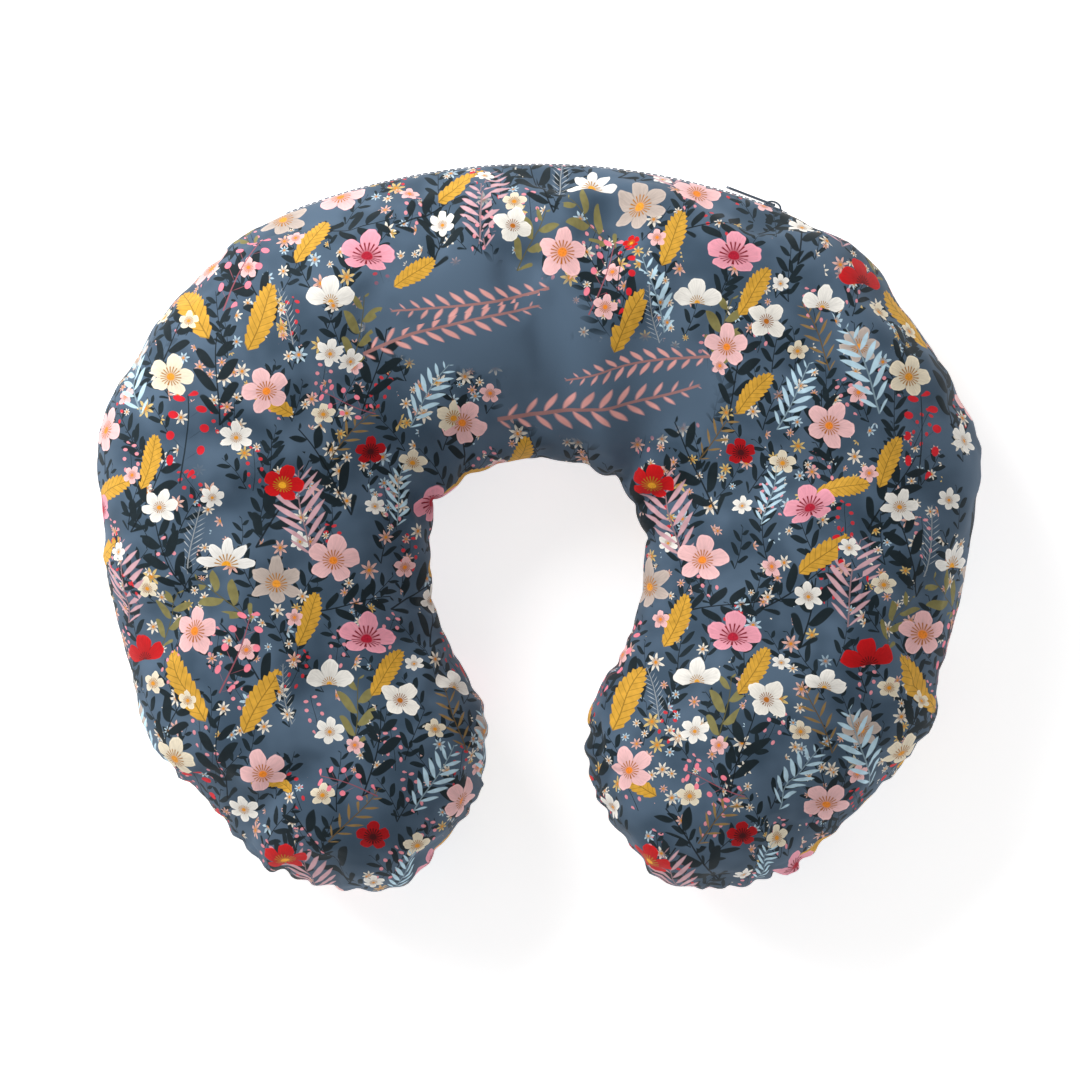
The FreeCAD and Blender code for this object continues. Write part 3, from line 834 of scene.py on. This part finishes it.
def stored_blossoms(art, layer, colour):
    x, y, squat = art.numbers(layer + "_place")
    y = y.most(0.0) + y.least(0.0) * squat
    petal_ink, petals = art.colour(layer + "_petal")
    heart_ink, core = art.colour(layer + "_heart")
    blunt, fan, seed = art.numbers(layer + "_kind")
    return art.blossom(x, y, petals, blunt, fan, core, seed, colour, petal_ink, heart_ink)


def stored_sprigs(art, layer, colour):
    x, y, seed = art.numbers(layer + "_place")
    leaf_ink, pairs = art.colour(layer + "_leaf")
    leaf, width, berry = art.numbers(layer + "_kind")
    return art.sprig(x, y, pairs, leaf, width, berry, seed, colour, leaf_ink)


def cover_cloth():
    """Brushed jersey with the printed flowers."""
    material, tree, art, _ = new_material("cover_print")
    x, y, clear = art.numbers("print")
    cloud = art.noise(art.vector(x * 0.03, y * 0.03, 0.0), 1.0, 2.0)
    colour = art.mix(cloud.ramp(0.35, 0.65), *COVER_BASE)
    colour = art.mix(clear, colour, COVER_BASE[0])
    colour = fillers(art, x, y, clear, colour)
    for layer in ("back", "front"):
        colour = stored_sprigs(art, layer + "_sprig", colour)
        colour = stored_blossoms(art, layer + "_bloom", colour)
    knit = (x * 5.2).sine() * (y * 6.4).sine() + 0.6 * art.noise(art.vector(x, y, 0.0), 1.4, 2.0)
    principled(tree, colour, 0.68, bump=(knit, 0.10, 0.2 * MM), sheen=0.02, gloss=0.16)
    return material


def plain_cloth(name, colour, pitch, roughness=0.8, strength=0.3):
    """A woven cloth of one colour; pitch is its threads' spacing."""
    material, tree, art, place = new_material(name)
    x, y, z = art.split(place)
    turn = 2 * math.pi / pitch
    weave = (x * turn).sine() * ((y + z) * turn).sine()
    principled(tree, colour, roughness, bump=(weave, strength, 0.2 * MM), sheen=0.1)
    return material


def fibre(name, colour):
    """Loose polyester fibre, in tufts."""
    material, tree, art, place = new_material(name)
    tufts = art.noise(place, 60.0, 4.0)
    tone = art.mix(tufts.ramp(0.35, 0.65), tuple(c * 0.8 for c in colour), colour)
    principled(tree, tone, 0.95, bump=(tufts, 0.8, 2 * MM), sheen=0.3)
    return material


def hard(name, colour, roughness, metallic=0.0, coat=0.0):
    """Moulded plastic or painted metal, with a faint unevenness."""
    material, tree, art, place = new_material(name)
    grain = art.noise(place, 900.0, 2.0)
    tone = art.mix(grain.ramp(0.3, 0.7), tuple(c * 0.9 for c in colour), colour)
    principled(tree, tone, roughness, bump=(grain, 0.05, 0.05 * MM), metallic=metallic, coat=coat)
    return material


# ---- building the cover ----
def sides(faces):
    """Every face's four edges, as they run round it."""
    return np.stack([faces, np.roll(faces, -1, 1)], -1).reshape(-1, 2)


def subdivide(co, faces, extra):
    """One Catmull-Clark step on a closed mesh of quads; extra values are carried along linearly."""
    pairs, inverse = np.unique(np.sort(sides(faces), 1), axis=0, return_inverse=True)
    inverse = inverse.reshape(-1)
    middles = co[faces].mean(1)
    beside = np.zeros((len(pairs), 3))
    np.add.at(beside, inverse, np.repeat(middles, 4, axis=0))
    edge_points = (co[pairs].sum(1) + beside) / 4
    valence, around = (gather(faces, values, len(co)) for values in (np.ones((len(faces), 1)), middles))
    spokes = np.zeros_like(co)
    for k in (0, 1):
        np.add.at(spokes, pairs[:, k], co[pairs].mean(1))
    points = (around / valence + 2 * spokes / valence + (valence - 3) * co) / valence
    edge_ids = len(co) + inverse.reshape(-1, 4)
    face_ids = (len(co) + len(pairs) + np.arange(len(faces)))[:, None]
    small = [np.stack([faces[:, k], edge_ids[:, k], face_ids[:, 0], edge_ids[:, k - 1]], 1) for k in range(4)]
    carried = np.concatenate([extra, extra[pairs].mean(1), extra[faces].mean(1)])
    return np.concatenate([points, edge_points, middles]), np.stack(small, 1).reshape(-1, 4), carried


LEAST_PRINT_SCALE = 0.66      # how much shorter than the cloth its print may be on the steep rim


def let_out():
    """How far the print is let out beyond the plan, by distance from the seam."""
    half_width = 88 * MM
    away = half_width * np.linspace(0, 1, 800) ** 2
    height = TOP_RISE * (1 - (1 - away / half_width) ** FULLNESS) ** (1 / FULLNESS)
    cloth = np.hypot(np.diff(away), np.diff(height))
    spare = np.maximum(LEAST_PRINT_SCALE * cloth - np.diff(away), 0)
    return away, np.concatenate([np.cumsum(spare[::-1])[::-1], [0]])


def widened(rest):
    """The unpuckered cover's plan, let out near the seam so that the print doesn't stretch down the rim."""
    away, extra = let_out()
    mirrored = rest[:, :2] * np.stack([np.sign(rest[:, 0]), np.ones(len(rest))], 1)
    distance, run = seam_distance(mirrored)
    tangent = np.gradient(SEAM, axis=0)
    tangent /= norm(tangent, axis=1, keepdims=True)
    normal = np.stack([-np.interp(run, SEAM_RUN, tangent[:, 1]), np.interp(run, SEAM_RUN, tangent[:, 0])], 1)
    shift = normal * np.interp(distance, away, extra)[:, None]
    shift[:, 0] *= np.sign(rest[:, 0])
    return rest[:, :2] + shift


def store(mesh, name, values):
    """Keeps three or four numbers for every corner."""
    kind, field = ("FLOAT_COLOR", "color") if values.shape[1] == 4 else ("FLOAT_VECTOR", "vector")
    attribute = mesh.attributes.new(name, kind, "CORNER")
    attribute.data.foreach_set(field, np.ascontiguousarray(values, np.float32).reshape(-1))


BOTTOM_SHIFT = np.array([64, 37]) * MM          # the bottom panel is cut from another place of the cloth
LAYERS = {
    "front_bloom": (lay_blossoms, FRONT_BLOSSOMS, EXTRA_BLOSSOMS),
    "front_sprig": (lay_sprigs, FRONT_SPRIGS, EXTRA_SPRIGS),
    "back_bloom": (lay_blossoms, BACK_BLOSSOMS, []),
    "back_sprig": (lay_sprigs, BACK_SPRIGS, []),
}


def dress(mesh, flat, panel):
    """Stores what the print needs at every corner."""
    corners = np.empty(len(mesh.loops), int)
    mesh.loops.foreach_get("vertex_index", corners)
    places = flat[corners] if panel == "top" else flat[corners] * (-1, 1) + BOTTOM_SHIFT
    centres = places.reshape(-1, 4, 2).mean(1)
    clear = plainness(places) if panel == "top" else np.zeros(len(places))
    store(mesh, "print", np.column_stack([places / MM, clear]))
    for layer, (lay, motifs, extras) in LAYERS.items():
        laid = lay(places, centres, placed(motifs, extras, panel, places.min(0), places.max(0)))
        for name, values in laid.items():
            store(mesh, f"{layer}_{name}", values)


def cut(faces, chosen):
    """The chosen faces alone: their points' numbers and the faces among those."""
    used, inverse = np.unique(faces[chosen], return_inverse=True)
    return used, inverse.reshape(-1, 4)


def piece(name, co, faces, normals, material, bends, node_slot, *nodes):
    """A smooth visual piece that stands for CAD nodes, which it hides."""
    mesh = make_mesh(name, co, faces)
    mesh.normals_split_custom_set_from_vertices(normals.tolist())
    thing = make_object(name, mesh)
    mesh.materials.append(material)
    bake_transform(thing)
    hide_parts(*nodes)
    return thing


def shared_edges(faces, others):
    """The edges of the faces that the other faces have too."""
    known = {tuple(sorted(edge)) for edge in sides(others)}
    return [edge for edge in sides(faces) if tuple(sorted(edge)) in known]


LINER_INSET = 9 * MM          # from the cover's outside to the liner, and to the filling
FILL_INSET = 11 * MM
HEM_DEPTH = 1.6 * MM
ARMS = {1: "right_arm", -1: "left_arm"}

body = Body()
faces = body.all_quads()
normals = vertex_normals(body.co, faces, smoothing=4)
start = pucker(body, normals)
settled = ease_corners(body, settle(body, start))
fine, fine_faces, rest = subdivide(settled, faces, body.co)
fine_normals = vertex_normals(fine, fine_faces)
fine_flat = widened(rest)

quarter, order = np.divmod(np.arange(len(faces)), LAST_ROW * GRID_COLUMNS)
row, column = np.divmod(order, GRID_COLUMNS)
slit = (column == 0) & (row < ZIP_ROW)
fine_quarter, fine_slit = np.repeat(quarter, 4), np.repeat(slit, 4)

print_cloth = cover_cloth()
liner_cloth = plain_cloth("liner_cotton", ink("f3f1ec"), 1.1 * MM)
fill_fibre = fibre("polyester_fill", ink("f7f6f3"))
ribbon_cloth = plain_cloth("cover_allowance_cloth", ink("4a627b"), 0.9 * MM)


def cover_panel(number, panel, side):
    """One quarter of the cover, open along the zip, where its edge is turned in."""
    own, arm = fine_quarter == number, ARMS[side]
    used, own_faces = cut(fine_faces, own & ~fine_slit)
    edges = shared_edges(fine_faces[own & ~fine_slit], fine_faces[own & fine_slit])
    rim = np.unique(edges)
    outside, tucked = np.searchsorted(used, edges), len(used) + np.searchsorted(rim, edges)
    cover = piece(
        f"{panel}_panel_{'right' if side > 0 else 'left'}",
        np.concatenate([fine[used], fine[rim] - fine_normals[rim] * HEM_DEPTH]),
        np.concatenate([own_faces, np.hstack([outside[:, ::-1], tucked])]),
        np.concatenate([fine_normals[used], fine_normals[rim]]), print_cloth, arm, "cover_fabric",
        f"cover_{panel}_{arm}", f"cover_{panel}_back"
    )
    dress(cover.data, np.concatenate([fine_flat[used], fine_flat[rim]]), panel)


def liner_panel(number, panel, side):
    """One quarter of the inner pillow's liner."""
    used, own_faces = cut(faces, quarter == number)
    arm = ARMS[side]
    liner = piece(
        f"liner_{panel}_piece_{arm}", body.co[used] - normals[used] * LINER_INSET, own_faces, normals[used],
        liner_cloth, arm, "liner_fabric", f"liner_{panel}_{arm}", f"liner_{panel}_back"
    )


def half_filling(half, arm):
    """The filling of one half; half says which faces are in it."""
    used, own_faces = cut(faces, half)
    filling = piece(
        f"filling_{arm}", body.co[used] - normals[used] * FILL_INSET, own_faces, normals[used],
        fill_fibre, arm, "fibre_fill", f"fibre_fill_{arm}", "fibre_fill_back"
    )


def allowance(layer, half, arm, co, inset, material):
    """The seam allowance of the cover or the liner, in one half."""
    by_seam = (body.distance[faces] == 0).any(1)
    open_there = slit & (layer == "cover")
    used, own_faces = cut(faces, half & by_seam & ~open_there)
    own_normals = vertex_normals(co, faces, smoothing=4)[used]
    ribbon = piece(
        f"{layer}_allowance_ribbon_{arm}", co[used] - own_normals * inset, own_faces, own_normals,
        material, arm, f"{layer}_fabric", f"{layer}_allowance_{arm}", f"{layer}_allowance_back"
    )


for number, (panel, side) in enumerate(body.index):
    cover_panel(number, panel, side)
    liner_panel(number, panel, side)
for side, arm in ARMS.items():
    half = np.isin(quarter, [k for k, (panel, own_side) in enumerate(body.index) if own_side == side])
    half_filling(half, arm)
    allowance("cover", half, arm, settled, 2 * MM, ribbon_cloth)
    allowance("liner", half, arm, body.co, LINER_INSET + 0.6 * MM, liner_cloth)

# ---- the zip, the labels and the thread ----
FINISHES = {                  # by words in the nodes' names
    ("tape",): plain_cloth("zip_tape", ink("3f566e"), 0.8 * MM),
    ("teeth",): hard("zip_teeth", ink("46586b"), 0.55),
    ("slider", "pull", "stop"): hard("zip_slider", ink("566574"), 0.38, metallic=0.35, coat=0.2),
    ("stitch",): hard("thread", ink("586d82"), 0.7),
    ("label",): plain_cloth("label_ribbon", ink("f4f3ef"), 0.5 * MM, 0.45, 0.15),
}
for node, thing in frame["nodes"].items():
    for words, finish in FINISHES.items():
        if any(word in node for word in words):
            for material_slot in thing.material_slots:
                material_slot.material = finish

# ---- floor, light and camera ----
floor_mesh = make_mesh("studio_floor", [(-4, -4, 0), (4, -4, 0), (4, 4, 0), (-4, 4, 0)], [(0, 1, 2, 3)])
floor = make_object("studio_floor", floor_mesh)
floor.location.z = -0.3 * MM
floor_paint, floor_tree, *_ = new_material("studio_white")
floor_surface = principled(floor_tree, (0.93, 0.93, 0.93), 0.9)
fill_in(floor_surface, (("Emission Color", (1, 1, 1, 1)), ("Emission Strength", 0.6)))
floor_mesh.materials.append(floor_paint)

world = bpy.data.worlds.new("studio")
world.use_nodes = True
fill_in(world.node_tree.nodes["Background"], (("Color", (1, 1, 1, 1)), ("Strength", 0.42)))
bpy.context.scene.world = world

lamp = bpy.data.lights.new("key", "AREA")
lamp.size = 1.7
lamp.energy = 74
key = make_object("key", lamp)
key.location = (-1.8, 1.75, 1.7)
key.rotation_euler = (Vector((0, 0, SEAM_Z)) - key.location).to_track_quat("-Z", "Y").to_euler()

camera_data = bpy.data.cameras.new("photo_camera")
camera_data.lens = 200
camera_data.sensor_width = 36
camera = make_object("photo_camera", camera_data)
camera.location = (0.0018, -0.0074, SEAM_Z + 3.54)
bpy.context.scene.camera = camera
bpy.context.scene.view_settings.view_transform = "Standard"
